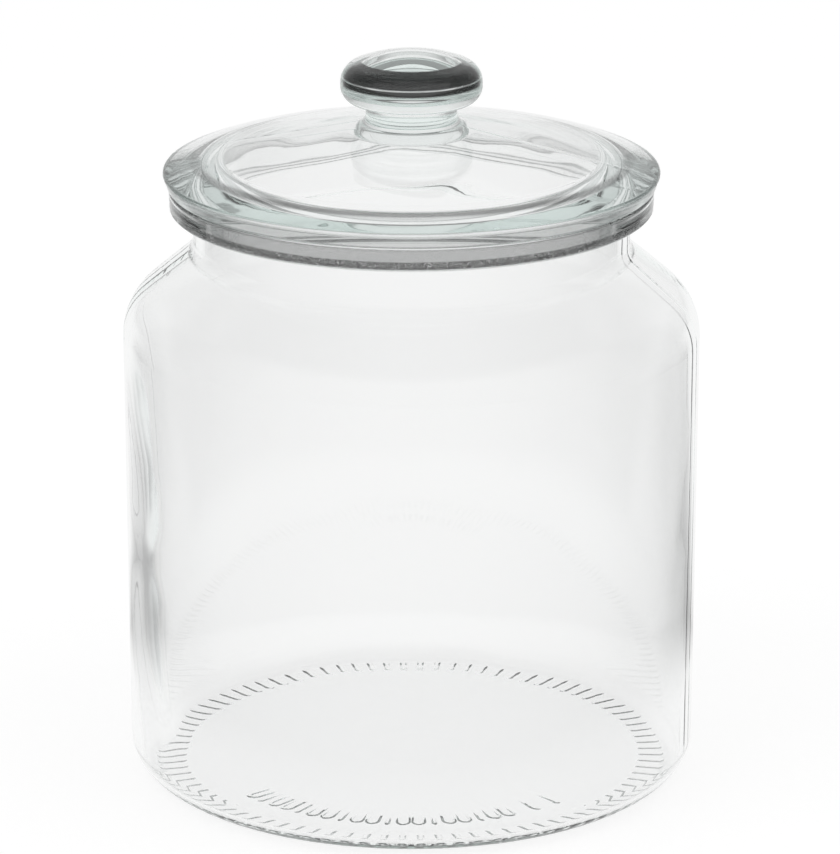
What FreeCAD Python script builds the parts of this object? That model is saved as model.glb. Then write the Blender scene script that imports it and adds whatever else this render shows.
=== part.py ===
import FreeCAD, Part
import math
import os

# A round storage jar of clear pressed glass with its loose glass lid, standing on its base.
# +Z is up, +X is to the right of someone facing the jar, and the origin is on the axis in the
# plane that the jar stands on. Lengths are in millimetres, angles in degrees.
# An outline is half of a section through the axis: corners of (radius, height, rounding).

# ---- jar, outside, from the standing plane up ----
foot_radius = 69.4              # where the body's line would meet the standing plane
body_flare = 0.6                # how much wider the body is at its shoulder
body_height = 117.2             # where that line would meet the cone of the shoulder
shoulder_rise = 14.6            # from there to where the cone would meet the neck
neck_radius = 52.8
neck_rise = 9.4                 # from there to the hollow under the rim
shoulder_rounding = 14.4
neck_rounding = 4.5
heel_rounding = 8.6

# ---- jar, rim ----
rim_overhang = 5.7              # beyond the neck
rim_lean = 0.2                  # the band's side leans in by this towards its foot
rim_hollow_rise = 0.6           # slope of the band's underside
rim_band = 5.5                  # height of the band's side
rim_hollow_rounding = 1.2
rim_rounding = 0.8

# ---- jar, inside ----
wall = 3.0                      # body and shoulder
neck_wall = 3.5
mouth_rounding = 1.5
throat_rounding = 10.0          # where the mouth opens into the shoulder
inner_shoulder_rounding = 24.0  # the glass is thicker here than in the wall
floor_thickness = 3.0           # above the standing ring
floor_rounding = 4.0            # between floor and wall

# ---- jar, underside ----
ring_width = 18.4               # from the foot's corner in to the hollow
push_up = 0.5                   # height of the hollow above the standing ring
push_up_run = 40.0              # how far in the hollow takes to rise by that height
push_up_rounding = 300.0        # at both ends of that rise

# ---- jar, ribs of the standing ring ----
rib_count = 86
rib_height = 0.3                # of its tip below the glass of the ring
rib_length = 6.0
rib_width = 1.3
rib_margin = 5.6                # from the hollow's edge out to a rib's inner end
rib_root = 1.2                  # how far a rib reaches up into the ring

# ---- lid ----
lid_overhang = 1.6              # beyond the rim
lid_corner_rise = 3.9           # the flange's upper corner above the rim
lid_foot_overhang = 0.2         # the flange's lower corner beyond the rim
lid_rounding = 0.9
cone_edge_inset = 7.1           # from the flange's corner in to the shallow cone
cone_edge_rise = 6.5            # the cone's edge above the rim
cone_edge_rounding = 50.0
cone_angle = 12.0
cone_thickness = 4.0            # measured upright
cone_underside_flat = 13.5      # radius of the flat under the knob
cone_underside_rounding = 12.0

# ---- plug of the lid, which drops into the jar's mouth ----
plug_clearance = 1.0
plug_depth = 7.0
plug_wall = 2.6
plug_draft = 0.5                # the plug's bore is this much wider at its root
plug_rounding = 0.9
plug_root_rounding = 1.2
plug_bore_rounding = 2.0

# ---- knob ----
stem_radius = 11.0
stem_height = 4.97              # from the cone to the knob's underside
stem_top_rounding = 1.0
stem_foot_rounding = 3.2
knob_overhang = 6.1             # beyond the stem
knob_thickness = 12.3           # from its underside to the top of its crown
knob_underside_rounding = 4.1
knob_land = 0.8                 # upright band between the two roundings of its edge
knob_edge_rounding = 5.2

# ---- sizes that follow ----
ring_height = rib_height
push_up_radius = foot_radius - ring_width
shoulder_radius = foot_radius + body_flare
neck_foot_height = body_height + shoulder_rise
rim_hollow_height = neck_foot_height + neck_rise
rim_foot_height = rim_hollow_height + rim_hollow_rise
seat_height = rim_foot_height + rim_band        # flat top of the rim, which carries the lid
rim_radius = neck_radius + rim_overhang
mouth_radius = neck_radius - neck_wall

FULL_TURN = 360.0
AXIS_POINT = FreeCAD.Vector(0, 0, 0)
UP = FreeCAD.Vector(0, 0, 1)


def spot(radius, height):
    """A point of an outline."""
    return FreeCAD.Vector(radius, 0, height)


def rounded_path(corners):
    """Edges from the first corner to the last, with an arc of its own rounding at each between."""
    edges = []
    last = spot(*corners[0][:2])
    for before, corner, after in zip(corners, corners[1:], corners[2:]):
        here = spot(*corner[:2])
        to_before = (spot(*before[:2]) - here).normalize()
        to_after = (spot(*after[:2]) - here).normalize()
        half_angle = to_before.getAngle(to_after) / 2
        reach = corner[2] / math.tan(half_angle)
        depth = corner[2] / math.sin(half_angle) - corner[2]
        start = here + to_before * reach
        end = here + to_after * reach
        crest = here + (to_before + to_after).normalize() * depth
        edges.append(Part.makeLine(last, start))
        edges.append(Part.Arc(start, crest, end).toShape())
        last = end
    edges.append(Part.makeLine(last, spot(*corners[-1][:2])))
    return edges


def turned(edges):
    """The solid that a closed outline makes when it is turned round the axis."""
    face = Part.Face(Part.Wire(edges))
    solid = face.revolve(AXIS_POINT, UP, FULL_TURN)
    if solid.Volume < 0:
        solid.reverse()
    return solid


def body_radius(height):
    """Radius of the body's outer line at a height."""
    return foot_radius + body_flare * height / body_height


def inner_shoulder():
    """Radius and height of the inner shoulder's corner, a wall inside the outer one."""
    body_lean = math.atan2(body_flare, body_height)
    cone_fall = math.atan2(shoulder_rise, shoulder_radius - neck_radius)
    body_inward = spot(-math.cos(body_lean), math.sin(body_lean))
    cone_inward = spot(-math.sin(cone_fall), -math.cos(cone_fall))
    step = (body_inward + cone_inward) * (wall / (1 + body_inward.dot(cone_inward)))
    corner = spot(shoulder_radius, body_height) + step
    return corner.x, corner.z


def rib_solid():
    """One rib of the standing ring: a radial bar lying along +X, its tip on the standing plane."""
    corner = FreeCAD.Vector(push_up_radius + rib_margin, -rib_width / 2, 0)
    return Part.makeBox(rib_length, rib_width, rib_height + rib_root, corner)


def ribs():
    """All the ribs, evenly spaced round the standing ring."""
    rib = rib_solid()
    return [rib.rotated(AXIS_POINT, UP, FULL_TURN * i / rib_count) for i in range(rib_count)]


def jar():
    """The jar: base with its ribbed standing ring, body, shoulder, neck and rim."""
    shoulder_inner_radius, shoulder_inner_height = inner_shoulder()
    cone_slope = shoulder_rise / (shoulder_radius - neck_radius)
    throat_height = shoulder_inner_height + (shoulder_inner_radius - mouth_radius) * cone_slope
    floor_height = ring_height + floor_thickness
    corners = [
        (0, ring_height + push_up, 0),
        (push_up_radius - push_up_run, ring_height + push_up, push_up_rounding),
        (push_up_radius, ring_height, push_up_rounding),
        (body_radius(ring_height), ring_height, heel_rounding),
        (shoulder_radius, body_height, shoulder_rounding),
        (neck_radius, neck_foot_height, neck_rounding),
        (neck_radius, rim_hollow_height, rim_hollow_rounding),
        (rim_radius - rim_lean, rim_foot_height, rim_rounding),
        (rim_radius, seat_height, rim_rounding),
        (mouth_radius, seat_height, mouth_rounding),
        (mouth_radius, throat_height, throat_rounding),
        (shoulder_inner_radius, shoulder_inner_height, inner_shoulder_rounding),
        (body_radius(floor_height) - wall, floor_height, floor_rounding),
        (0, floor_height, 0),
    ]
    edges = rounded_path(corners)
    edges.append(Part.makeLine(spot(0, floor_height), spot(0, ring_height + push_up)))
    return turned(edges).multiFuse(ribs()).removeSplitter()


def knob_crown(knob_radius, widest_height, top_height):
    """Edges of the knob's crown and upper edge, from the axis to its widest circle."""
    edge_middle = spot(knob_radius - knob_edge_rounding, widest_height)
    rise = top_height - widest_height - knob_edge_rounding
    below = (edge_middle.x ** 2 - rise ** 2) / (2 * rise)
    crown_middle = spot(0, widest_height - below)
    crown_radius = top_height - crown_middle.z
    lean = math.atan2(edge_middle.x, below)
    join = crown_middle + spot(math.sin(lean), math.cos(lean)) * crown_radius
    on_crown = crown_middle + spot(math.sin(lean / 2), math.cos(lean / 2)) * crown_radius
    half_way = (lean + math.pi / 2) / 2
    on_edge = edge_middle + spot(math.sin(half_way), math.cos(half_way)) * knob_edge_rounding
    crown = Part.Arc(spot(0, top_height), on_crown, join)
    edge = Part.Arc(join, on_edge, spot(knob_radius, widest_height))
    return [crown.toShape(), edge.toShape()]


def lid():
    """The lid: knob on its stem, shallow cone, flange that rests on the rim, and hollow plug."""
    lid_radius = rim_radius + lid_overhang
    cone_slope = math.tan(math.radians(cone_angle))
    cone_edge_radius = lid_radius - cone_edge_inset
    cone_edge_height = seat_height + cone_edge_rise

    def cone_top(radius):
        return cone_edge_height + (cone_edge_radius - radius) * cone_slope

    plug_radius = mouth_radius - plug_clearance
    plug_foot_height = seat_height - plug_depth
    bore_radius = plug_radius - plug_wall
    bore_root_radius = bore_radius + plug_draft
    underside_top = cone_top(cone_underside_flat) - cone_thickness
    knob_radius = stem_radius + knob_overhang
    knob_foot_height = cone_top(stem_radius) + stem_height
    widest_height = knob_foot_height + knob_underside_rounding + knob_land
    top_height = knob_foot_height + knob_thickness
    corners = [
        (knob_radius, widest_height, 0),
        (knob_radius, knob_foot_height, knob_underside_rounding),
        (stem_radius, knob_foot_height, stem_top_rounding),
        (stem_radius, cone_top(stem_radius), stem_foot_rounding),
        (cone_edge_radius, cone_edge_height, cone_edge_rounding),
        (lid_radius, seat_height + lid_corner_rise, lid_rounding),
        (rim_radius + lid_foot_overhang, seat_height, lid_rounding),
        (plug_radius, seat_height, plug_root_rounding),
        (plug_radius, plug_foot_height, plug_rounding),
        (bore_radius, plug_foot_height, plug_rounding),
        (bore_root_radius, cone_top(bore_root_radius) - cone_thickness, plug_bore_rounding),
        (cone_underside_flat, underside_top, cone_underside_rounding),
        (0, underside_top, 0),
    ]
    edges = knob_crown(knob_radius, widest_height, top_height) + rounded_path(corners)
    edges.append(Part.makeLine(spot(0, underside_top), spot(0, top_height)))
    return turned(edges)


def write(node, shape):
    """Write one solid to parts/NODE.step."""
    shape.exportStep(os.path.join("parts", node + ".step"))


os.makedirs("parts", exist_ok=True)
write("jar", jar())
write("lid", lid())
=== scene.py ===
"""Looks of a round storage jar of clear pressed glass with its loose glass lid.

The jar and the lid are turned surfaces worked out as whole arrays: an outline of straight runs and
tangent arcs is carried round the axis, and every ripple, seam, rib and mould mark is a height field
on it, measured along the surface's own outward normal. Lengths are in metres and angles in degrees
unless a name says radians.
"""

import logging
import math
from dataclasses import dataclass
from enum import Enum, auto
from typing import Dict, List, Optional, Sequence, Tuple

import bpy
import numpy as np
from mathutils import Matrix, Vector


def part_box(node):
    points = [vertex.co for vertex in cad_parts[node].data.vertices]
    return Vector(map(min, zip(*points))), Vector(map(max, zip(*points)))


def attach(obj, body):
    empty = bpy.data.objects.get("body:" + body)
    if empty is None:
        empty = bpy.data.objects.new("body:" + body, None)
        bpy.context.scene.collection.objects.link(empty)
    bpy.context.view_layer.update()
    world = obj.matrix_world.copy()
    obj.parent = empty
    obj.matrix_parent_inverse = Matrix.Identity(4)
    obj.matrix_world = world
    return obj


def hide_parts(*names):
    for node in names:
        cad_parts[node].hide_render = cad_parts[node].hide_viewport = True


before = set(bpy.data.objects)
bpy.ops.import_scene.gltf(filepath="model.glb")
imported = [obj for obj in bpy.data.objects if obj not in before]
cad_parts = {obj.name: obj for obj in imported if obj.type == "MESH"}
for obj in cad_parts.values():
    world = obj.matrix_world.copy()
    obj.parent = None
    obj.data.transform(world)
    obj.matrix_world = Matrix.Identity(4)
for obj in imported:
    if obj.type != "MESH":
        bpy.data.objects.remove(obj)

LOG = logging.getLogger("storage_jar")
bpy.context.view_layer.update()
MM = 0.001
Stops = Sequence[Tuple[float, float]]
FULL_TURN = 2 * math.pi
Array = np.ndarray


class Station(Enum):
    """Names of an outline's corners. Ribs, ripples, seams and masks are placed by some of them."""

    RING = auto()
    HEEL = auto()
    SHOULDER = auto()
    NECK = auto()
    RIM_HOLLOW = auto()
    RIM_FOOT = auto()
    RIM_TOP = auto()
    MOUTH = auto()
    THROAT = auto()
    INNER_SHOULDER = auto()
    FLOOR_EDGE = auto()
    KNOB_CROWN = auto()
    KNOB_EDGE = auto()
    KNOB_FOOT = auto()
    STEM_TOP = auto()
    STEM_FOOT = auto()
    CONE_EDGE = auto()
    FLANGE_TOP = auto()
    FLANGE_FOOT = auto()
    PLUG_ROOT = auto()
    PLUG_FOOT = auto()
    BORE_FOOT = auto()
    BORE_ROOT = auto()
    UNDERSIDE = auto()


@dataclass(frozen=True)
class Corner:
    """A corner of an outline, with the radius of the arc that rounds it."""

    radius: float
    height: float
    rounding: float = 0.0
    station: Optional[Station] = None


@dataclass
class Rows:
    """Points along an outline.

    Attributes:
        place: radius and height of each point.
        normal: the outward normal there, in the same plane.
        run: distance along the outline from its first point.
        stations: the run at the middle of each named corner.
    """

    place: Array
    normal: Array
    run: Array
    stations: Dict[Station, float]

    def between(self, first: Station, last: Station, fade: float) -> Array:
        """A mask that is 1 from one station to another and fades out smoothly inside both."""
        start, end = self.stations[first], self.stations[last]
        return smooth_step((self.run - start) / fade) * smooth_step((end - self.run) / fade)

    def refined(self, start: float, end: float, step: float) -> "Rows":
        """The same outline with points no further apart than step between two runs."""
        gaps = np.diff(self.run)
        inside = (self.run[:-1] >= start) & (self.run[1:] <= end)
        counts = np.where(inside, np.ceil(gaps / step - 1e-6), 1).astype(int)
        owner = np.repeat(np.arange(len(gaps)), counts)
        share = np.concatenate([np.arange(count) / count for count in counts])[:, None]

        def filled(values: Array) -> Array:
            """The values at every old and new point, in even steps between the old ones."""
            inner = values[owner] * (1 - share) + values[owner + 1] * share
            return np.concatenate([inner, values[-1:]])

        run = filled(self.run[:, None])[:, 0]
        return Rows(filled(self.place), unit(filled(self.normal)), run, self.stations)


def smooth_step(x: Array) -> Array:
    """0 below 0, 1 above 1, and the cubic 3x^2 - 2x^3 between."""
    t = np.clip(x, 0.0, 1.0)
    return t * t * (3.0 - 2.0 * t)


def bell(x: Array) -> Array:
    """The bell curve exp(-x^2)."""
    return np.exp(-x * x)


def unit(vectors: Array) -> Array:
    """The same vectors at length 1."""
    return vectors / np.linalg.norm(vectors, axis=-1, keepdims=True)


def turn_between(angle: Array, middle: float) -> Array:
    """The signed turn from one direction to each of many, from -pi to pi, in radians."""
    return (angle - middle + math.pi) % FULL_TURN - math.pi


def straight(start: Array, end: Array, step: float) -> Tuple[Array, Array]:
    """Points strictly between two ends, no further apart than step, with the normal to their right."""
    way = end - start
    length = float(np.linalg.norm(way))
    if length < 1e-9:
        return np.empty((0, 2)), np.empty((0, 2))
    count = max(1, math.ceil(length / step))
    share = np.arange(1, count)[:, None] / count
    return start + share * way, np.repeat([[way[1], -way[0]]], count - 1, axis=0) / length


def rounded(before: Corner, corner: Corner, after: Corner, arc_step: float) -> Tuple[Array, Array]:
    """The arc that rounds a corner.

    Its centre is on the corner's bisector, R / sin(half angle) away, and a point on it is that
    centre plus the first arm turned by up to 180 degrees less the whole angle.
    """
    here = np.array([corner.radius, corner.height])
    back = unit(np.array([before.radius, before.height]) - here)
    ahead = unit(np.array([after.radius, after.height]) - here)
    half = math.acos(float(np.clip(back @ ahead, -1, 1))) / 2
    turn = math.pi - 2 * half
    start = here + back * corner.rounding / math.tan(half)
    centre = here + unit(back + ahead) * corner.rounding / math.sin(half)
    side = -np.sign(back[0] * ahead[1] - back[1] * ahead[0])
    angle = side * np.linspace(0.0, turn, max(2, math.ceil(math.degrees(turn) / arc_step)) + 1)
    arm = start - centre
    arms = np.stack([arm[0] * np.cos(angle) - arm[1] * np.sin(angle),
                     arm[0] * np.sin(angle) + arm[1] * np.cos(angle)], axis=1)
    return centre + arms, side * arms / corner.rounding


def trace(corners: Sequence[Corner], arc_step: float, straight_step: float) -> Rows:
    """Walks an outline of straight runs joined by tangent arcs, with the outside on its right.

    Args:
        corners: the outline's corners, the first and last unrounded.
        arc_step: largest turn between two points of an arc, in degrees.
        straight_step: largest distance between two points of a straight run.

    Returns:
        The points, with normals, runs and named stations.
    """
    first = np.array([corners[0].radius, corners[0].height])
    tail = np.array([corners[-1].radius, corners[-1].height])
    places, normals = [first[None]], []
    middles: Dict[Station, Array] = {}
    for before, corner, after in zip(corners, corners[1:], corners[2:]):
        arc, arc_normals = rounded(before, corner, after, arc_step)
        between, between_normals = straight(places[-1][-1], arc[0], straight_step)
        if not normals:
            normals.append(arc_normals[:1])
        places += [between, arc]
        normals += [between_normals, arc_normals]
        if corner.station:
            middles[corner.station] = arc[len(arc) // 2]
    between, between_normals = straight(places[-1][-1], tail, straight_step)
    places += [between, tail[None]]
    normals += [between_normals, normals[-1][-1:]]
    place, normal = np.concatenate(places), np.concatenate(normals)
    fresh = np.concatenate([[True], np.linalg.norm(np.diff(place, axis=0), axis=1) > 1e-8])
    place, normal = place[fresh], normal[fresh]
    run = np.concatenate([[0.0], np.cumsum(np.linalg.norm(np.diff(place, axis=0), axis=1))])
    stations = {name: float(run[np.argmin(np.linalg.norm(place - middle, axis=1))])
                for name, middle in middles.items()}
    return Rows(place, normal, run, stations)


def turned_surface(rows: Rows, lift: Array) -> Tuple[Array, Array]:
    """Carries an outline round the axis and lifts it along its own normal by a height field.

    A point is (r cos a, r sin a, z) plus lift times the outward normal, and its normal is the
    outline's, tipped back by the slopes of the lift along the outline and round the axis.

    Args:
        rows: the outline.
        lift: heights, one row for each point of the outline and one column for each direction.

    Returns:
        Places and unit normals, each shaped (rows, columns, 3).
    """
    angle = np.arange(lift.shape[1]) * FULL_TURN / lift.shape[1]
    out = np.stack([np.cos(angle), np.sin(angle), np.zeros_like(angle)], axis=1)[None]
    round_way = np.stack([-np.sin(angle), np.cos(angle), np.zeros_like(angle)], axis=1)[None]
    up = np.array([0.0, 0.0, 1.0])
    normal = rows.normal[:, None, :1] * out + rows.normal[:, None, 1:] * up
    along = -rows.normal[:, None, 1:] * out + rows.normal[:, None, :1] * up
    base = rows.place[:, None, :1] * out + rows.place[:, None, 1:] * up
    slope_along = np.gradient(lift, rows.run, axis=0)
    step = rows.place[:, :1] * FULL_TURN / lift.shape[1]
    slope_round = (np.roll(lift, -1, axis=1) - np.roll(lift, 1, axis=1)) / (2 * np.maximum(step, 1e-6))
    tipped = normal - slope_along[..., None] * along - slope_round[..., None] * round_way
    return base + lift[..., None] * normal, unit(tipped)


def closed_skin(counts: Sequence[int]) -> Tuple[Array, Array]:
    """Faces between rings of points, whose numbers may differ by a whole factor, closed at poles.

    Between rings of one number each step is a four-sided face. Where the number changes, every
    coarse point fans out to the fine edges nearest it, and a triangle fills each coarse edge. The
    first and last rings are single points.

    Args:
        counts: how many points each ring has, in order along the outline.

    Returns:
        The triangles and the four-sided faces, as indices of points stored ring after ring.
    """
    starts = np.concatenate([[0], np.cumsum(counts)])
    triangles, quads = [], []
    for lower, upper, start, after in zip(counts, counts[1:], starts, starts[1:]):
        if lower == upper:
            here = np.arange(lower)
            there = (here + 1) % lower
            quads.append(np.stack([start + here, start + there, after + there, after + here], axis=1))
        elif lower == 1:
            here = np.arange(upper)
            triangles.append(np.stack([np.full(upper, start), after + (here + 1) % upper, after + here], 1))
        elif upper == 1:
            here = np.arange(lower)
            triangles.append(np.stack([start + here, start + (here + 1) % lower, np.full(lower, after)], 1))
        else:
            fine, coarse = max(lower, upper), min(lower, upper)
            share = fine // coarse
            fine_start, coarse_start = (start, after) if lower == fine else (after, start)
            here = np.arange(fine)
            nearest = ((here + share - share // 2) // share) % coarse
            fan = np.stack([fine_start + here, fine_start + (here + 1) % fine, coarse_start + nearest], 1)
            each = np.arange(coarse)
            tip = (each * share + share // 2) % fine
            fill = np.stack([coarse_start + each, fine_start + tip, coarse_start + (each + 1) % coarse], 1)
            if lower != fine:
                fan, fill = fan[:, ::-1], fill[:, ::-1]
            triangles += [fan, fill]
    return np.concatenate(triangles), np.concatenate(quads)


def glass_mesh(name: str, rows: Rows, lift: Array, fine: Array, share: int) -> bpy.types.Object:
    """Builds one closed glass piece from its outline and its height field.

    Args:
        name: the piece's name.
        rows: its outline, which starts and ends on the axis.
        lift: its height field, with the fine number of columns.
        fine: which rows of points keep every column; the others keep one in each share.
        share: how many fine columns make a coarse one.

    Returns:
        The object, with smooth faces that point outwards.
    """
    places, normals = turned_surface(rows, lift)
    steps = np.where(fine, 1, share)
    counts = [lift.shape[1] // step for step in steps]
    counts[0] = counts[-1] = 1
    rings = [ring[::step] for ring, step in zip(places, steps)]
    slopes = [ring[::step] for ring, step in zip(normals, steps)]
    for end, sign in ((0, rows.normal[0, 1]), (-1, rows.normal[-1, 1])):
        rings[end] = places[end].mean(axis=0, keepdims=True)
        slopes[end] = np.array([[0.0, 0.0, np.sign(sign)]])
    points = np.concatenate(rings)
    triangles, quads = closed_skin(counts)
    mesh = bpy.data.meshes.new(name)
    mesh.vertices.add(len(points))
    mesh.vertices.foreach_set("co", points.ravel())
    corners = np.concatenate([triangles.ravel(), quads.ravel()])
    sizes = np.concatenate([np.full(len(triangles), 3), np.full(len(quads), 4)])
    mesh.loops.add(len(corners))
    mesh.loops.foreach_set("vertex_index", corners.astype(np.int32))
    mesh.polygons.add(len(sizes))
    mesh.polygons.foreach_set("loop_start", np.concatenate([[0], np.cumsum(sizes)[:-1]]).astype(np.int32))
    mesh.update(calc_edges=True)
    mesh.shade_smooth()
    mesh.normals_split_custom_set_from_vertices(np.concatenate(slopes).tolist())
    piece = bpy.data.objects.new(name, mesh)
    bpy.context.scene.collection.objects.link(piece)
    LOG.info("%s: %d points, %d triangles", name, len(points), int((sizes - 2).sum()))
    return piece


def waves(angle: Array, run: Array, seed: int, orders: Tuple[int, int], lengths: Tuple[float, float],
          count: int = 24) -> Array:
    """An uneven field of long ripples, about -1 to 1, that closes on itself round the axis.

    It is the sum of cos(m a + 2 pi s / L + phase) over whole orders m and lengths L along the
    outline, drawn from a seeded generator, divided by the root of half their number.
    """
    draw = np.random.default_rng(seed)
    total = np.zeros((len(run), len(angle)))
    for _ in range(count):
        order = draw.integers(orders[0], orders[1] + 1)
        length = draw.uniform(*lengths) * draw.choice([-1, 1])
        phase = draw.uniform(0, FULL_TURN)
        total += np.cos(order * angle[None] + FULL_TURN * run[:, None] / length + phase)
    return total / math.sqrt(count / 2)


@dataclass
class Jar:
    """The jar: base with its ribbed standing ring, body, shoulder, neck and rim.

    Attributes:
        widest: radius of the body at its widest, from the frame.
        top: height of the rim's flat top, from the frame.
        corner_gain: how far the body's corner lies outside what its rounding leaves.
        mark_from, mark_to: azimuths of the first and last mark of the curved row.
        streaks: soft draw marks inside the wall, each with its azimuth, its lowest and highest
            point, its width and how far it stands out.
        columns: how many points go round the jar.
        share: how many times as many go round where the ribs and marks are.
    """

    widest: float
    top: float
    corner_gain: float = 0.03 * MM
    body_flare: float = 0.6 * MM
    shoulder_rise: float = 14.6 * MM
    shoulder_rounding: float = 14.4 * MM
    neck_inset: float = 17.2 * MM
    neck_rise: float = 9.4 * MM
    neck_rounding: float = 4.5 * MM
    heel_rounding: float = 8.6 * MM
    rim_overhang: float = 5.7 * MM
    rim_lean: float = 0.2 * MM
    rim_hollow_rise: float = 0.6 * MM
    rim_hollow_rounding: float = 1.2 * MM
    rim_band: float = 5.5 * MM
    rim_rounding: float = 0.8 * MM
    wall: float = 3.0 * MM
    neck_wall: float = 3.5 * MM
    mouth_rounding: float = 1.5 * MM
    throat_rounding: float = 6.5 * MM
    inner_shoulder_rounding: float = 12.0 * MM
    floor_thickness: float = 3.0 * MM
    floor_rounding: float = 4.0 * MM
    ring_width: float = 18.4 * MM
    push_up: float = 0.5 * MM
    push_up_run: float = 40.0 * MM
    push_up_rounding: float = 300.0 * MM
    rib_count: int = 86
    rib_height: float = 0.3 * MM
    rib_length: float = 6.0 * MM
    rib_width: float = 1.3 * MM
    rib_flank: float = 0.62 * MM
    rib_margin: float = 5.6 * MM
    mark_radius: float = 49.0 * MM
    mark_length: float = 5.0 * MM
    mark_width: float = 0.45 * MM
    mark_height: float = 0.30 * MM
    mark_end: float = 0.6 * MM
    mark_count: int = 19
    mark_from: float = -140.0
    mark_to: float = -62.0
    bead_radius: float = 1.2 * MM
    ring_mark_azimuth: float = -50.0
    ring_mark_radius: float = 3.4 * MM
    floor_line_radius: float = 50.0 * MM
    floor_line_width: float = 0.5 * MM
    floor_line_height: float = 0.05 * MM
    floor_line_azimuth: float = 94.0
    floor_line_spread: float = 30.0
    seam_azimuth: float = -11.0
    seam_width: float = 0.30 * MM
    seam_height: float = 0.10 * MM
    streaks: Tuple[Tuple[float, float, float, float, float], ...] = (
        (-163.0, 62 * MM, 108 * MM, 9.0 * MM, 0.45 * MM), (-152.0, 55 * MM, 84 * MM, 7.0 * MM, -0.25 * MM),
        (-157.0, 12 * MM, 62 * MM, 9.0 * MM, 0.40 * MM), (-20.0, 20 * MM, 100 * MM, 9.0 * MM, 0.15 * MM))
    streak_fade: float = 8 * MM
    streak_sway: float = 0.05
    streak_sway_length: float = 60 * MM
    inner_ripple: float = 0.05 * MM
    outer_ripple: float = 0.02 * MM
    inner_fade: float = 25 * MM
    outer_fade: float = 8 * MM
    arc_step: float = 8.0
    straight_step: float = 6.5 * MM
    fine_step: float = 0.75 * MM
    fine_past_heel: float = 2 * MM
    columns: int = 344
    share: int = 3

    @property
    def shoulder(self) -> float:
        """Radius where the body's line would meet the cone of the shoulder."""
        return self.widest + self.corner_gain

    @property
    def foot(self) -> float:
        """Radius where the body's line would meet the standing plane."""
        return self.shoulder - self.body_flare

    @property
    def neck(self) -> float:
        """Outer radius of the neck."""
        return self.shoulder - self.neck_inset

    @property
    def rim(self) -> float:
        """Outer radius of the rim."""
        return self.neck + self.rim_overhang

    @property
    def mouth(self) -> float:
        """Inner radius of the neck."""
        return self.neck - self.neck_wall

    @property
    def body_height(self) -> float:
        """Height where the body's line would meet the cone of the shoulder."""
        return self.top - self.rim_band - self.rim_hollow_rise - self.neck_rise - self.shoulder_rise

    def body_radius(self, height: float) -> float:
        """Radius of the body's outer line at a height."""
        return self.foot + self.body_flare * height / self.body_height

    def inner_shoulder(self) -> Tuple[float, float]:
        """Radius and height of the inner shoulder's corner, a wall inside the outer one."""
        lean = math.atan2(self.body_flare, self.body_height)
        fall = math.atan2(self.shoulder_rise, self.neck_inset)
        body_in = np.array([-math.cos(lean), math.sin(lean)])
        cone_in = np.array([-math.sin(fall), -math.cos(fall)])
        step = (body_in + cone_in) * self.wall / (1 + float(body_in @ cone_in))
        return self.shoulder + step[0], self.body_height + step[1]

    def outline(self) -> List[Corner]:
        """Half of a section through the axis, from under the base, over the rim, to the floor."""
        ring = self.rib_height
        hollow_edge = self.foot - self.ring_width
        floor = ring + self.floor_thickness
        neck_foot = self.body_height + self.shoulder_rise
        rim_hollow = neck_foot + self.neck_rise
        inner_radius, inner_height = self.inner_shoulder()
        slope = self.shoulder_rise / self.neck_inset
        throat = inner_height + (inner_radius - self.mouth) * slope
        return [
            Corner(0.0, ring + self.push_up),
            Corner(hollow_edge - self.push_up_run, ring + self.push_up, self.push_up_rounding),
            Corner(hollow_edge, ring, self.push_up_rounding, Station.RING),
            Corner(self.body_radius(ring), ring, self.heel_rounding, Station.HEEL),
            Corner(self.shoulder, self.body_height, self.shoulder_rounding, Station.SHOULDER),
            Corner(self.neck, neck_foot, self.neck_rounding, Station.NECK),
            Corner(self.neck, rim_hollow, self.rim_hollow_rounding, Station.RIM_HOLLOW),
            Corner(self.rim - self.rim_lean, rim_hollow + self.rim_hollow_rise, self.rim_rounding,
                   Station.RIM_FOOT),
            Corner(self.rim, self.top, self.rim_rounding, Station.RIM_TOP),
            Corner(self.mouth, self.top, self.mouth_rounding, Station.MOUTH),
            Corner(self.mouth, throat, self.throat_rounding, Station.THROAT),
            Corner(inner_radius, inner_height, self.inner_shoulder_rounding,
                   Station.INNER_SHOULDER),
            Corner(self.body_radius(floor) - self.wall, floor, self.floor_rounding, Station.FLOOR_EDGE),
            Corner(0.0, floor),
        ]

    def ribs(self, rows: Rows, angle: Array) -> Array:
        """Height of the radial ribs on the standing ring.

        Across a rib the height is a smooth step up and down, and along it the same at its two ends.
        """
        start = self.foot - self.ring_width + self.rib_margin
        radius = rows.place[:, :1]
        pitch = FULL_TURN / self.rib_count
        across = np.abs((angle[None] + pitch / 2) % pitch - pitch / 2) * radius
        flank = self.rib_flank
        side = smooth_step((self.rib_width / 2 + flank / 2 - across) / flank)
        end = smooth_step((radius - start + flank / 2) / flank)
        end *= smooth_step((start + self.rib_length + flank / 2 - radius) / flank)
        under = (rows.run < rows.stations[Station.HEEL])[:, None]
        return self.rib_height * side * end * under

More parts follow.
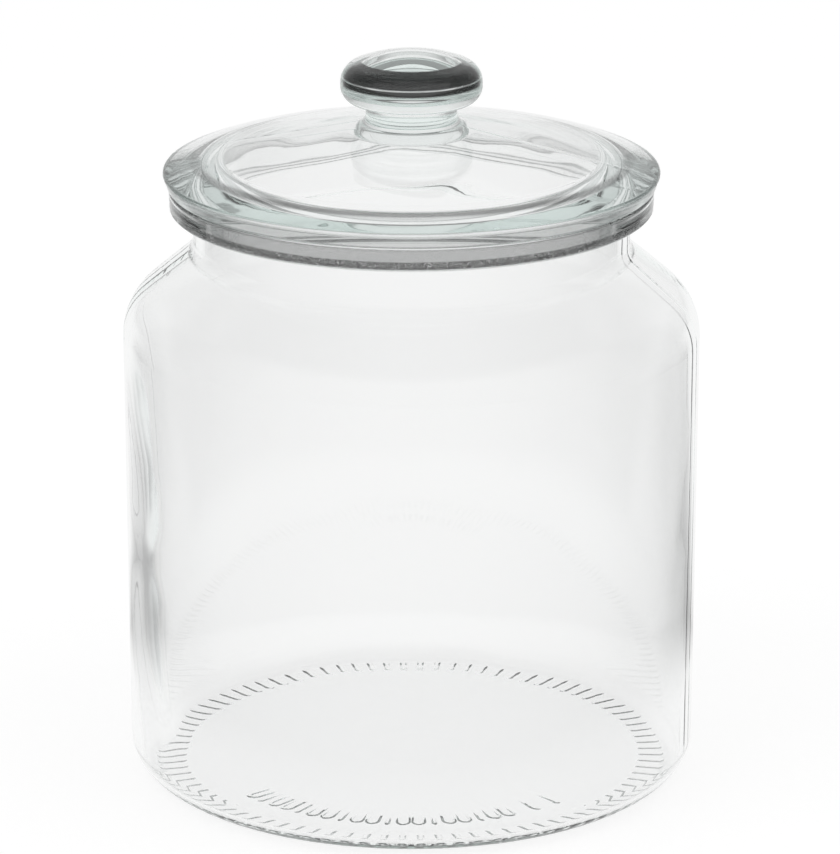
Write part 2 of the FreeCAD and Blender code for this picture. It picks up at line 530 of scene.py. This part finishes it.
    def marks(self, rows: Rows, angle: Array) -> Array:
        """Height of plain marks under the base: a curved row of rings and bars, and a larger ring."""
        radius = rows.place[:, :1]
        under = (rows.run < rows.stations[Station.RING])[:, None]
        from_end = self.mark_length / 2 - np.abs(radius - self.mark_radius)
        along = smooth_step(from_end / self.mark_end + 0.5)
        height = np.zeros((len(radius), len(angle)))
        azimuths = np.radians(np.linspace(self.mark_from, self.mark_to, self.mark_count))
        for place, azimuth in enumerate(azimuths):
            across = turn_between(angle, azimuth)[None] * radius
            if place % 3 == 1:
                height += bell(across / self.mark_width) * along
            else:
                from_bead = np.hypot(across, radius - self.mark_radius)
                height += bell((from_bead - self.bead_radius) / self.mark_width)
        middle = math.radians(self.ring_mark_azimuth)
        from_middle = np.hypot(radius * np.cos(angle[None]) - self.mark_radius * math.cos(middle),
                               radius * np.sin(angle[None]) - self.mark_radius * math.sin(middle))
        height += bell((from_middle - self.ring_mark_radius) / self.mark_width)
        return self.mark_height * np.clip(height, 0.0, 1.0) * under

    def unevenness(self, rows: Rows, angle: Array) -> Array:
        """Height of what pressing leaves: ripples, draw marks, a line on the floor and two seams."""
        run, radius, height = rows.run, rows.place[:, :1], rows.place[:, 1]
        inner = rows.between(Station.MOUTH, Station.FLOOR_EDGE, self.inner_fade)[:, None]
        outer = rows.between(Station.HEEL, Station.RIM_HOLLOW, self.outer_fade)[:, None]
        lift = self.inner_ripple * inner * waves(angle, run, 11, (2, 14), (60 * MM, 400 * MM))
        lift += self.outer_ripple * outer * waves(angle, run, 12, (2, 14), (80 * MM, 300 * MM))
        inside = run > rows.stations[Station.MOUTH]
        sway = self.streak_sway * np.sin(height * FULL_TURN / self.streak_sway_length)
        for azimuth, low, high, width, gain in self.streaks:
            turn = math.radians(azimuth) + sway
            across = turn_between(angle[None], turn[:, None]) * radius
            along = smooth_step((height - low) / self.streak_fade)
            along *= smooth_step((high - height) / self.streak_fade)
            lift += gain * bell(across / width) * (along * inside)[:, None]
        floor = (run > rows.stations[Station.FLOOR_EDGE])[:, None]
        line = self.floor_line_radius * (1 + 0.02 * np.sin(5 * angle) + 0.012 * np.sin(11 * angle))
        middle, spread = math.radians(self.floor_line_azimuth), math.radians(self.floor_line_spread)
        stretch = bell(turn_between(angle, middle) / spread)
        from_line = bell((radius - line[None]) / self.floor_line_width)
        lift += self.floor_line_height * floor * stretch[None] * from_line
        for turned in (0.0, math.pi):
            across = turn_between(angle, math.radians(self.seam_azimuth) + turned)[None] * radius
            lift += self.seam_height * outer * bell(across / self.seam_width)
        return lift

    def build(self) -> bpy.types.Object:
        """Makes the jar's mesh."""
        rows = trace(self.outline(), self.arc_step, self.straight_step)
        fine_start = self.mark_radius - self.mark_length
        fine_end = rows.stations[Station.HEEL] + self.fine_past_heel
        rows = rows.refined(fine_start, fine_end, self.fine_step)
        fine_columns = self.columns * self.share
        angle = np.arange(fine_columns) * FULL_TURN / fine_columns
        lift = self.ribs(rows, angle) + self.marks(rows, angle) + self.unevenness(rows, angle)
        fine = (rows.run > fine_start) & (rows.run < fine_end)
        piece = glass_mesh("jar_glass_body", rows, lift, fine, self.share)
        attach(piece, "root")
        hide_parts("jar")
        return piece


@dataclass
class Lid:
    """The lid: knob on its stem, shallow cone, flange on the rim, and hollow plug in the mouth.

    Attributes:
        jar: the jar that it rests on.
        top: height of the knob's crown, from the frame.
        widest: radius of the flange, from the frame.
        corner_gain: how far the flange's corner lies outside what its rounding leaves.
        seat_gap: the hair's breadth between the flange's foot and the rim.
        columns: how many points go round the lid.
    """

    jar: Jar
    top: float
    widest: float
    corner_gain: float = 0.25 * MM
    seat_gap: float = 0.12 * MM
    corner_rise: float = 3.9 * MM
    foot_overhang: float = 0.2 * MM
    rounding: float = 0.9 * MM
    cone_edge_inset: float = 7.1 * MM
    cone_edge_rise: float = 6.5 * MM
    cone_edge_rounding: float = 50.0 * MM
    cone_angle: float = 12.0
    cone_thickness: float = 4.0 * MM
    underside_flat: float = 13.5 * MM
    underside_rounding: float = 12.0 * MM
    plug_clearance: float = 1.0 * MM
    plug_depth: float = 7.0 * MM
    plug_wall: float = 2.6 * MM
    plug_draft: float = 0.5 * MM
    plug_rounding: float = 0.9 * MM
    plug_root_rounding: float = 1.2 * MM
    bore_rounding: float = 2.0 * MM
    stem_radius: float = 11.0 * MM
    stem_top_rounding: float = 1.0 * MM
    stem_foot_rounding: float = 3.2 * MM
    knob_overhang: float = 6.1 * MM
    knob_thickness: float = 12.3 * MM
    knob_underside_rounding: float = 4.1 * MM
    knob_land: float = 0.8 * MM
    knob_edge_rounding: float = 5.2 * MM
    seam_azimuth: float = -12.5
    seam_width: float = 0.3 * MM
    seam_height: float = 0.06 * MM
    seam_fade: float = 2 * MM
    under_ripple: float = 0.02 * MM
    under_fade: float = 5 * MM
    over_ripple: float = 0.01 * MM
    over_fade: float = 6 * MM
    arc_step: float = 5.0
    straight_step: float = 2.5 * MM
    columns: int = 430

    @property
    def radius(self) -> float:
        """Radius of the flange's upper corner before it is rounded."""
        return self.widest + self.corner_gain

    @property
    def seat(self) -> float:
        """Height of the flange's foot, a hair above the rim."""
        return self.jar.top + self.seat_gap

    def cone_top(self, radius: float) -> float:
        """Height of the cone's upper face at a radius."""
        edge = self.radius - self.cone_edge_inset
        rise = (edge - radius) * math.tan(math.radians(self.cone_angle))
        return self.jar.top + self.cone_edge_rise + rise

    def crown(self) -> List[Corner]:
        """The knob's crown and upper edge as two rounded corners.

        The crown is an arc centred on the axis and tangent to the edge's arc, so its corner lies
        level with the top where the line that leaves both arcs at their join meets that level.
        """
        radius = self.stem_radius + self.knob_overhang
        widest = self.top - self.knob_thickness + self.knob_underside_rounding + self.knob_land
        inset = radius - self.knob_edge_rounding
        rise = self.top - widest - self.knob_edge_rounding
        below = (inset ** 2 - rise ** 2) / (2 * rise)
        crown_radius = self.top - widest + below
        lean = math.atan2(inset, below)
        join = np.array([math.sin(lean), math.cos(lean)]) * crown_radius
        slope = math.tan(lean)
        edge_height = widest - below + join[1] - (radius - join[0]) * slope
        return [
            Corner(radius, edge_height, self.knob_edge_rounding, Station.KNOB_EDGE),
            Corner(crown_radius * math.tan(lean / 2), self.top, crown_radius, Station.KNOB_CROWN),
        ]

    def outline(self) -> List[Corner]:
        """Half of a section through the axis, from under the cone, round the plug, to the crown."""
        plug = self.jar.mouth - self.plug_clearance
        plug_foot = self.jar.top - self.plug_depth
        bore = plug - self.plug_wall
        bore_root = bore + self.plug_draft
        flat_height = self.cone_top(self.underside_flat) - self.cone_thickness
        knob_foot = self.top - self.knob_thickness
        cone_edge = self.radius - self.cone_edge_inset
        edge, crown = self.crown()
        return [
            Corner(0.0, flat_height),
            Corner(self.underside_flat, flat_height, self.underside_rounding, Station.UNDERSIDE),
            Corner(bore_root, self.cone_top(bore_root) - self.cone_thickness, self.bore_rounding,
                   Station.BORE_ROOT),
            Corner(bore, plug_foot, self.plug_rounding, Station.BORE_FOOT),
            Corner(plug, plug_foot, self.plug_rounding, Station.PLUG_FOOT),
            Corner(plug, self.seat, self.plug_root_rounding, Station.PLUG_ROOT),
            Corner(self.jar.rim + self.foot_overhang, self.seat, self.rounding, Station.FLANGE_FOOT),
            Corner(self.radius, self.jar.top + self.corner_rise, self.rounding, Station.FLANGE_TOP),
            Corner(cone_edge, self.jar.top + self.cone_edge_rise, self.cone_edge_rounding,
                   Station.CONE_EDGE),
            Corner(self.stem_radius, self.cone_top(self.stem_radius), self.stem_foot_rounding,
                   Station.STEM_FOOT),
            Corner(self.stem_radius, knob_foot, self.stem_top_rounding, Station.STEM_TOP),
            Corner(self.stem_radius + self.knob_overhang, knob_foot, self.knob_underside_rounding,
                   Station.KNOB_FOOT),
            edge,
            crown,
            Corner(0.0, self.top),
        ]

    def unevenness(self, rows: Rows, angle: Array) -> Array:
        """Height of what pressing leaves on the lid: swirls under the cone and two mould seams."""
        under = rows.between(Station.UNDERSIDE, Station.BORE_ROOT, self.under_fade)[:, None]
        over = rows.between(Station.CONE_EDGE, Station.STEM_FOOT, self.over_fade)[:, None]
        lift = self.under_ripple * under * waves(angle, rows.run, 21, (2, 9), (14 * MM, 60 * MM))
        lift += self.over_ripple * over * waves(angle, rows.run, 22, (2, 9), (14 * MM, 60 * MM))
        seam = rows.between(Station.FLANGE_FOOT, Station.STEM_FOOT, self.seam_fade)[:, None]
        for turned in (0.0, math.pi):
            across = turn_between(angle, math.radians(self.seam_azimuth) + turned)[None] * rows.place[:, :1]
            lift += self.seam_height * seam * bell(across / self.seam_width)
        return lift

    def build(self) -> bpy.types.Object:
        """Makes the lid's mesh."""
        rows = trace(self.outline(), self.arc_step, self.straight_step)
        angle = np.arange(self.columns) * FULL_TURN / self.columns
        lift = self.unevenness(rows, angle)
        piece = glass_mesh("lid_glass_body", rows, lift, np.ones(len(rows.run), bool), 1)
        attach(piece, "root")
        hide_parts("lid")
        return piece


class Nodes:
    """Adds nodes to a tree and joins them, in rows from left to right."""

    def __init__(self, tree: bpy.types.NodeTree) -> None:
        """Takes an empty tree."""
        self.tree = tree
        self.tree.nodes.clear()

    def add(self, kind: str, **settings: object) -> bpy.types.Node:
        """Adds a node, with its own settings."""
        node = self.tree.nodes.new(kind)
        for key, value in settings.items():
            setattr(node, key, value)
        node.location = (len(self.tree.nodes) * 180.0, 0.0)
        return node

    def join(self, output: bpy.types.NodeSocket, socket: bpy.types.NodeSocket) -> None:
        """Joins an output to an input."""
        self.tree.links.new(output, socket)

    def math(self, operation: str, *values: object, clamp: bool = False) -> bpy.types.NodeSocket:
        """Adds a Math node whose inputs are outputs of other nodes or plain numbers."""
        node = self.add("ShaderNodeMath", operation=operation, use_clamp=clamp)
        for socket, value in zip(node.inputs, values):
            if isinstance(value, bpy.types.NodeSocket):
                self.join(value, socket)
            else:
                socket.default_value = value
        return node.outputs[0]

    def bearing(self) -> Tuple[bpy.types.NodeSocket, bpy.types.NodeSocket, bpy.types.NodeSocket]:
        """Which way a point lies: how far round to behind the object, its distance, its height.

        Returns:
            0 in front to 1 behind, the distance from the middle, and the height.
        """
        where = self.add("ShaderNodeTexCoord").outputs["Object"]
        axes = self.add("ShaderNodeSeparateXYZ")
        self.join(where, axes.inputs[0])
        squares = [self.math("MULTIPLY", axes.outputs[name], axes.outputs[name]) for name in "XY"]
        distance = self.math("SQRT", self.math("ADD", *squares))
        behind = self.math("MULTIPLY_ADD", self.math("DIVIDE", axes.outputs["Y"], distance), 0.5, 0.5)
        return behind, distance, axes.outputs["Z"]

    def ramp(self, value: bpy.types.NodeSocket, stops: Stops,
             smooth: bool = True) -> bpy.types.NodeSocket:
        """Adds a grey ramp through (place, brightness) stops."""
        node = self.add("ShaderNodeValToRGB")
        node.color_ramp.interpolation = "EASE" if smooth else "LINEAR"
        elements = node.color_ramp.elements
        while len(elements) < len(stops):
            elements.new(0.5)
        for element, (place, grey) in zip(elements, stops):
            element.position = place
            element.color = (grey, grey, grey, 1.0)
        self.join(value, node.inputs["Fac"])
        return node.outputs["Color"]


def glass_skin_group(grain_scale: float = 4200.0) -> bpy.types.NodeTree:
    """The shared surface of pressed glass: fine ripples, and the grain that breaks up its painted dark edges.

    Args:
        grain_scale: specks of grain to a metre.

    Returns:
        A node group with the input Ripple Scale, and the outputs Height and Grain.
    """
    group = bpy.data.node_groups.new("pressed_glass_skin", "ShaderNodeTree")
    scale = group.interface.new_socket("Ripple Scale", in_out="INPUT", socket_type="NodeSocketFloat")
    scale.default_value = 60.0
    for label in ("Height", "Grain"):
        group.interface.new_socket(label, in_out="OUTPUT", socket_type="NodeSocketFloat")
    nodes = Nodes(group)
    given = nodes.add("NodeGroupInput")
    where = nodes.add("ShaderNodeTexCoord")
    ripple = nodes.add("ShaderNodeTexNoise", noise_dimensions="3D")
    ripple.inputs["Detail"].default_value = 2.0
    ripple.inputs["Roughness"].default_value = 0.45
    nodes.join(where.outputs["Object"], ripple.inputs["Vector"])
    nodes.join(given.outputs["Ripple Scale"], ripple.inputs["Scale"])
    fine = nodes.add("ShaderNodeTexNoise", noise_dimensions="3D")
    fine.inputs["Scale"].default_value = grain_scale
    nodes.join(where.outputs["Object"], fine.inputs["Vector"])
    above = nodes.math("SUBTRACT", fine.outputs["Fac"], 0.5, clamp=True)
    grain = nodes.math("MULTIPLY", above, 4.0, clamp=True)
    end = nodes.add("NodeGroupOutput")
    nodes.join(grain, end.inputs["Grain"])
    nodes.join(ripple.outputs["Fac"], end.inputs["Height"])
    return group


@dataclass(frozen=True)
class GlassFinish:
    """Clear soda-lime glass, faintly green where it is thick, with painted shade: bands of darker base colour
    by height.

    Attributes:
        name: the material's name.
        depth_colour: what the volume lets through, against what it takes away.
        density: how strongly the volume takes light away, per metre.
        index: its refractive index.
        shade_from, shade_to: heights between which painted shade darkens the base colour, standing in for the
            dark of a room that its thick edges show.
        shade_radius: radius outside which the shade is painted.
        shade_edge: over how much of the radius that sets in.
        painted_shades: the painted shade, how much of the base colour it keeps there, from the lower height
            (0) to the upper (1).
        shade_facing: how much of the painted shade is left as the surface turns edge-on.
        grain: how far fine grain breaks the painted dark up.
        ripple_scale: fine ripples to a metre.
        ripple_height: their height, in metres.
    """

    name: str
    depth_colour: Tuple[float, float, float] = (0.66, 0.88, 0.81)
    density: float = 4.0
    index: float = 1.52
    shade_from: float = 0.0
    shade_to: float = 1.0
    shade_radius: float = 0.0
    shade_edge: float = 0.4 * MM
    painted_shades: Stops = ((0.0, 1.0), (1.0, 1.0))
    shade_facing: Stops = ((0.66, 1.0), (0.82, 0.0))
    grain: float = 0.0
    ripple_scale: float = 55.0
    ripple_height: float = 0.02 * MM

    def material(self, skin: bpy.types.NodeTree) -> bpy.types.Material:
        """Builds the material round the shared skin group."""
        made = bpy.data.materials.new(self.name)
        made.use_nodes = True
        nodes = Nodes(made.node_tree)
        surface = nodes.add("ShaderNodeGroup", node_tree=skin)
        surface.inputs["Ripple Scale"].default_value = self.ripple_scale
        bump = nodes.add("ShaderNodeBump")
        bump.inputs["Distance"].default_value = self.ripple_height
        nodes.join(surface.outputs["Height"], bump.inputs["Height"])
        _, radius, height = nodes.bearing()
        # Painted shade: darker base colour in bands by height, outside shade_radius and on outward faces
        # only, standing in for the dark room seen in the glass's thick edges.
        across = nodes.math("DIVIDE", nodes.math("SUBTRACT", height, self.shade_from),
                            self.shade_to - self.shade_from, clamp=True)
        beyond = nodes.math("SUBTRACT", radius, self.shade_radius)
        outside = nodes.math("DIVIDE", beyond, self.shade_edge, clamp=True)
        facing = nodes.add("ShaderNodeLayerWeight").outputs["Facing"]
        inside = nodes.add("ShaderNodeNewGeometry").outputs["Backfacing"]
        outside = nodes.math("MULTIPLY", outside, nodes.ramp(facing, self.shade_facing))
        outside = nodes.math("MULTIPLY", outside, nodes.math("SUBTRACT", 1.0, inside))
        dark = nodes.math("MULTIPLY", outside, nodes.math("SUBTRACT", 1.0, nodes.ramp(across, self.painted_shades)))
        kept = nodes.math("SUBTRACT", 1.0, dark)
        speck = nodes.math("MULTIPLY", surface.outputs["Grain"], self.grain)
        edge = nodes.math("MAXIMUM", kept, nodes.math("MULTIPLY", speck, dark))
        tone = nodes.add("ShaderNodeCombineColor")
        for socket in tone.inputs[:3]:
            nodes.join(edge, socket)
        shader = nodes.add("ShaderNodeBsdfPrincipled")
        shader.inputs["Transmission Weight"].default_value = 1.0
        shader.inputs["IOR"].default_value = self.index
        nodes.join(tone.outputs[0], shader.inputs["Base Color"])
        shader.inputs["Roughness"].default_value = 0.0
        nodes.join(bump.outputs["Normal"], shader.inputs["Normal"])
        depth = nodes.add("ShaderNodeVolumeAbsorption")
        depth.inputs["Color"].default_value = (*self.depth_colour, 1.0)
        depth.inputs["Density"].default_value = self.density
        end = nodes.add("ShaderNodeOutputMaterial")
        nodes.join(shader.outputs[0], end.inputs["Surface"])
        nodes.join(depth.outputs[0], end.inputs["Volume"])
        return made


def jar_glass_painted_shade() -> GlassFinish:
    """The jar's glass, with painted shade: dark and grainy along the foot of the rim's band and grey above
    it.
    """
    return GlassFinish(
        "clear_jar_glass_painted_shade", shade_from=141.9 * MM, shade_to=147.2 * MM, shade_radius=56.6 * MM, grain=0.5,
        painted_shades=((0.0, 1.0), (0.12, 0.01), (0.40, 0.01), (0.48, 0.26), (0.85, 0.26), (0.96, 0.20), (1.0, 1.0)))


def lid_glass_painted_shade() -> GlassFinish:
    """The lid's glass: greener, with painted shade: a dark line and grey along the flange, then the knob's
    dark edge.

    From the flange's foot up, the painted shade is a line at the foot, the grey side of the flange, a
    line where the cone starts, and the knob's edge, dark with one thin painted highlight line in it.
    """
    return GlassFinish(
        "clear_lid_glass_painted_shade", depth_colour=(0.74, 0.85, 0.82), density=9.0,
        shade_from=147.3 * MM, shade_to=180.0 * MM, shade_radius=12.0 * MM,
        painted_shades=((0.0, 1.0), (0.006, 0.25), (0.014, 0.25), (0.026, 0.50), (0.100, 0.50), (0.118, 1.0),
                (0.185, 1.0), (0.195, 0.18), (0.205, 0.18), (0.215, 1.0), (0.765, 1.0), (0.785, 0.004),
                (0.816, 0.004), (0.823, 0.6), (0.830, 0.004), (0.93, 0.004), (1.0, 0.03)))


@dataclass
class Studio:
    """A plain pale floor, a pale room and two soft lamps, with the camera.

    Attributes:
        floor_radius: how far the floor reaches.
        floor_glow: how much of the floor's white shows by itself in what looks at it.
        floor_colour: how much light the floor gives back to what stands on it.
        floor_shown_colour: how much it gives back to what looks at it, which carries the shadow.
        floor_near: how white glass sees the floor close to the jar, by the distance in metres.
        floor_round: how white glass sees the rest of it, from in front (0) round to behind (1).
        room_light: brightness of the room as a light.
        room_round: brightness that glass sees in the room, from in front (0) round to behind (1).
        room_up: what is left of it higher up, by the sine of the elevation.
    """

    floor_radius: float = 6.0
    floor_glow: float = 0.86
    floor_colour: float = 0.80
    floor_shown_colour: float = 0.25
    floor_near: Stops = ((0.10, 0.97), (0.16, 0.45), (0.24, 0.0))
    floor_round: Stops = ((0.0, 0.74), (0.25, 0.58), (0.50, 0.38), (0.68, 0.30), (0.80, 0.48), (0.90, 0.93))
    room_light: float = 0.44
    room_round: Stops = ((0.0, 0.70), (0.25, 0.56), (0.50, 0.36), (0.68, 0.28), (0.80, 0.45), (0.90, 0.74),
                         (0.97, 0.84))
    room_up: Stops = ((0.0, 1.0), (0.66, 1.0), (0.88, 0.40))
    camera_distance: float = 1.23256
    camera_height: float = 0.478283
    camera_pitch: float = 17.899
    lens: float = 226.91
    shift: Tuple[float, float] = (0.01012, 0.02625)

    def seen_directly(self, nodes: Nodes) -> Tuple[bpy.types.NodeSocket, bpy.types.NodeSocket]:
        """Whether a ray comes straight from the camera, and whether it comes by way of glass."""
        path = nodes.add("ShaderNodeLightPath")
        glass = nodes.math("MAXIMUM", path.outputs["Is Glossy Ray"], path.outputs["Is Transmission Ray"])
        return path.outputs["Is Camera Ray"], glass

    def build_room(self) -> None:
        """Makes the world: white behind everything, and dimmer at the sides as glass sees it."""
        world = bpy.data.worlds.new("pale_room")
        bpy.context.scene.world = world
        world.use_nodes = True
        nodes = Nodes(world.node_tree)
        direct, by_glass = self.seen_directly(nodes)
        behind, _, height = nodes.bearing()
        seen = nodes.math("MULTIPLY", nodes.ramp(behind, self.room_round),
                          nodes.ramp(height, self.room_up))
        grey = nodes.math("MULTIPLY", by_glass, seen)
        light = nodes.math("MULTIPLY", nodes.math("SUBTRACT", 1.0, by_glass), self.room_light)
        total = nodes.math("MAXIMUM", nodes.math("ADD", grey, light), direct)
        back = nodes.add("ShaderNodeBackground")
        back.inputs["Color"].default_value = (1.0, 1.0, 1.0, 1.0)
        nodes.join(total, back.inputs["Strength"])
        end = nodes.add("ShaderNodeOutputWorld")
        nodes.join(back.outputs[0], end.inputs["Surface"])

    def build_floor(self) -> None:
        """Makes the round floor, whose own white shows to the camera and through glass."""
        angle = np.arange(96) * FULL_TURN / 96
        ring = np.stack([np.cos(angle), np.sin(angle), np.zeros_like(angle)], axis=1) * self.floor_radius
        mesh = bpy.data.meshes.new("studio_floor")
        mesh.from_pydata(ring.tolist(), [], [list(range(len(ring)))])
        floor = bpy.data.objects.new("studio_floor", mesh)
        bpy.context.scene.collection.objects.link(floor)
        made = bpy.data.materials.new("studio_floor_white")
        made.use_nodes = True
        nodes = Nodes(made.node_tree)
        direct, by_glass = self.seen_directly(nodes)
        behind, distance, _ = nodes.bearing()
        seen = nodes.math("MAXIMUM", nodes.ramp(distance, self.floor_near),
                          nodes.ramp(behind, self.floor_round))
        shown = nodes.math("MAXIMUM", direct, nodes.math("MULTIPLY", by_glass, seen))
        diffuse = nodes.add("ShaderNodeBsdfDiffuse")
        looked_at = nodes.math("MAXIMUM", direct, by_glass)
        shade = nodes.math("ADD", nodes.math("MULTIPLY", shown, self.floor_shown_colour),
                           nodes.math("MULTIPLY", nodes.math("SUBTRACT", 1.0, looked_at), self.floor_colour))
        tone = nodes.add("ShaderNodeCombineColor")
        for socket in tone.inputs[:3]:
            nodes.join(shade, socket)
        nodes.join(tone.outputs[0], diffuse.inputs["Color"])
        glow = nodes.add("ShaderNodeEmission")
        nodes.join(nodes.math("MULTIPLY", shown, self.floor_glow), glow.inputs["Strength"])
        both = nodes.add("ShaderNodeAddShader")
        nodes.join(diffuse.outputs[0], both.inputs[0])
        nodes.join(glow.outputs[0], both.inputs[1])
        end = nodes.add("ShaderNodeOutputMaterial")
        nodes.join(both.outputs[0], end.inputs["Surface"])
        mesh.materials.append(made)

    def build_lamps(self) -> None:
        """Hangs two large soft lamps, which light the floor and don't show in the glass."""
        for name, place, size, power in (("lamp_left", (-1.2, -0.9, 1.8), 1.6, 9.0),
                                         ("lamp_right", (1.3, -0.5, 1.7), 1.6, 6.0)):
            light = bpy.data.lights.new(name, "AREA")
            light.energy = power
            light.size = size
            lamp = bpy.data.objects.new(name, light)
            lamp.location = place
            lamp.rotation_euler = (-Vector(place)).to_track_quat("-Z", "Y").to_euler()
            lamp.visible_camera = lamp.visible_glossy = lamp.visible_transmission = False
            bpy.context.scene.collection.objects.link(lamp)

    def build_camera(self) -> None:
        """Sets the camera up in front of the jar, a little above its lid and tipped down."""
        data = bpy.data.cameras.new("camera")
        data.sensor_fit = "HORIZONTAL"
        data.sensor_width = 36.0
        data.lens = self.lens
        data.shift_x, data.shift_y = self.shift
        camera = bpy.data.objects.new("camera", data)
        camera.location = (0.0, -self.camera_distance, self.camera_height)
        camera.rotation_euler = (math.radians(90 - self.camera_pitch), 0.0, 0.0)
        bpy.context.scene.collection.objects.link(camera)
        bpy.context.scene.camera = camera

    def build(self) -> None:
        """Makes the whole studio, with enough bounces for light to get through both glass pieces."""
        scene = bpy.context.scene
        scene.view_settings.view_transform = "Standard"
        scene.cycles.max_bounces = 40
        scene.cycles.transmission_bounces = 40
        scene.cycles.glossy_bounces = 24
        self.build_room()
        self.build_floor()
        self.build_lamps()
        self.build_camera()


def main() -> None:
    """Builds the jar, its lid and the studio, and dresses the glass."""
    logging.basicConfig(level=logging.INFO, format="%(name)s: %(message)s")
    jar_high, lid_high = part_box("jar")[1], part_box("lid")[1]
    jar = Jar(widest=jar_high.x, top=jar_high.z)
    lid = Lid(jar=jar, top=lid_high.z, widest=lid_high.x)
    skin = glass_skin_group()
    for part, finish in ((jar, jar_glass_painted_shade()), (lid, lid_glass_painted_shade())):
        piece = part.build()
        piece.data.materials.append(finish.material(skin))
        LOG.info("%s is dressed in %s", piece.name, finish.name)
    Studio().build()


if __name__ == "__main__":
    main()
